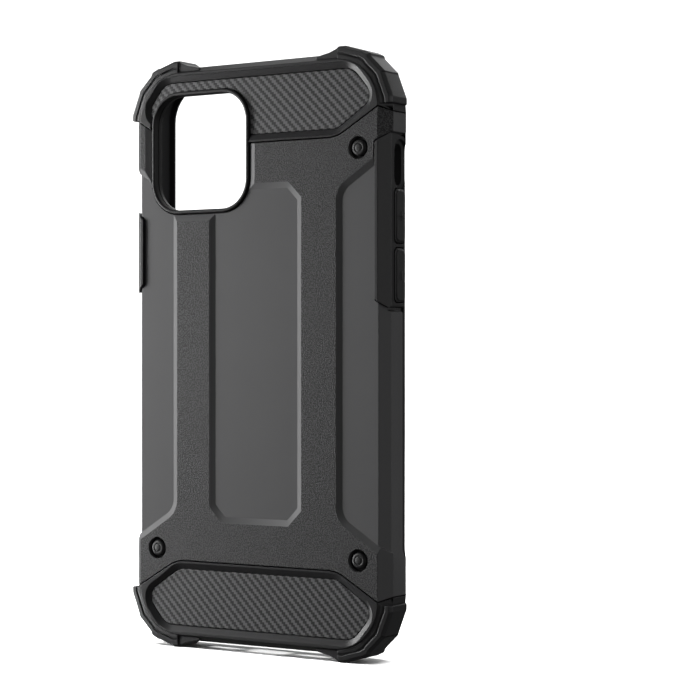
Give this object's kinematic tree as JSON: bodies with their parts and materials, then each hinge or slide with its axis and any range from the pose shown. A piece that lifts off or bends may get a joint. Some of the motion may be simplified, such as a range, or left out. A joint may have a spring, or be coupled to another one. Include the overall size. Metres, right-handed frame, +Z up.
{
  "type": "phone case",
  "caption": "Rugged two-piece phone case: a soft open-front sleeve with push covers and corner pads, and a hard ribbed back plate that slides on from behind.",
  "frame": {"origin": "bottom centre of the box round the case, between the feet of its two lower corner pads", "axes": "+Z up along the case's height, +X towards the side of the volume buttons, -Y out of the back plate, +Y out of the open front"},
  "size_m": [0.0818, 0.0122, 0.155],
  "materials": {
    "soft_sleeve": "matt moulded TPU",
    "hard_plate": "satin moulded polycarbonate with a fine textured field",
    "soft_trim": "satin moulded TPU",
    "twill_inlay": "satin film with a moulded twill relief",
    "push_cover": "satin moulded TPU with raised marks",
    "corner_pad": "matt moulded TPU"
  },
  "bodies": {
    "sleeve": {"sleeve": "soft_sleeve", "camera_ring": "soft_trim", "top_inlay": "twill_inlay", "bottom_inlay": "twill_inlay", "top_right_stud": "soft_trim", "bottom_right_stud": "soft_trim", "bottom_left_stud": "soft_trim", "top_left_corner_pad": "corner_pad", "top_right_corner_pad": "corner_pad", "bottom_left_corner_pad": "corner_pad", "bottom_right_corner_pad": "corner_pad"},
    "back_plate": {"back_plate": "hard_plate"},
    "power_button": {"power_button": "push_cover"},
    "volume_up_button": {"volume_up_button": "push_cover"},
    "volume_down_button": {"volume_down_button": "push_cover"}
  },
  "joints": [
    {"name": "back_plate_release", "type": "slide", "parent": "sleeve", "child": "back_plate", "axis": [0, -1, 0], "range_m": [0, 0.025]},
    {"name": "power_button_press", "type": "slide", "parent": "sleeve", "child": "power_button", "axis": [1, 0, 0], "range_m": [0, 0.0004], "stiffness_N_per_m": 2500},
    {"name": "volume_up_button_press", "type": "slide", "parent": "sleeve", "child": "volume_up_button", "axis": [-1, 0, 0], "range_m": [0, 0.0004], "stiffness_N_per_m": 2500},
    {"name": "volume_down_button_press", "type": "slide", "parent": "sleeve", "child": "volume_down_button", "axis": [-1, 0, 0], "range_m": [0, 0.0004], "stiffness_N_per_m": 2500}
  ]
}
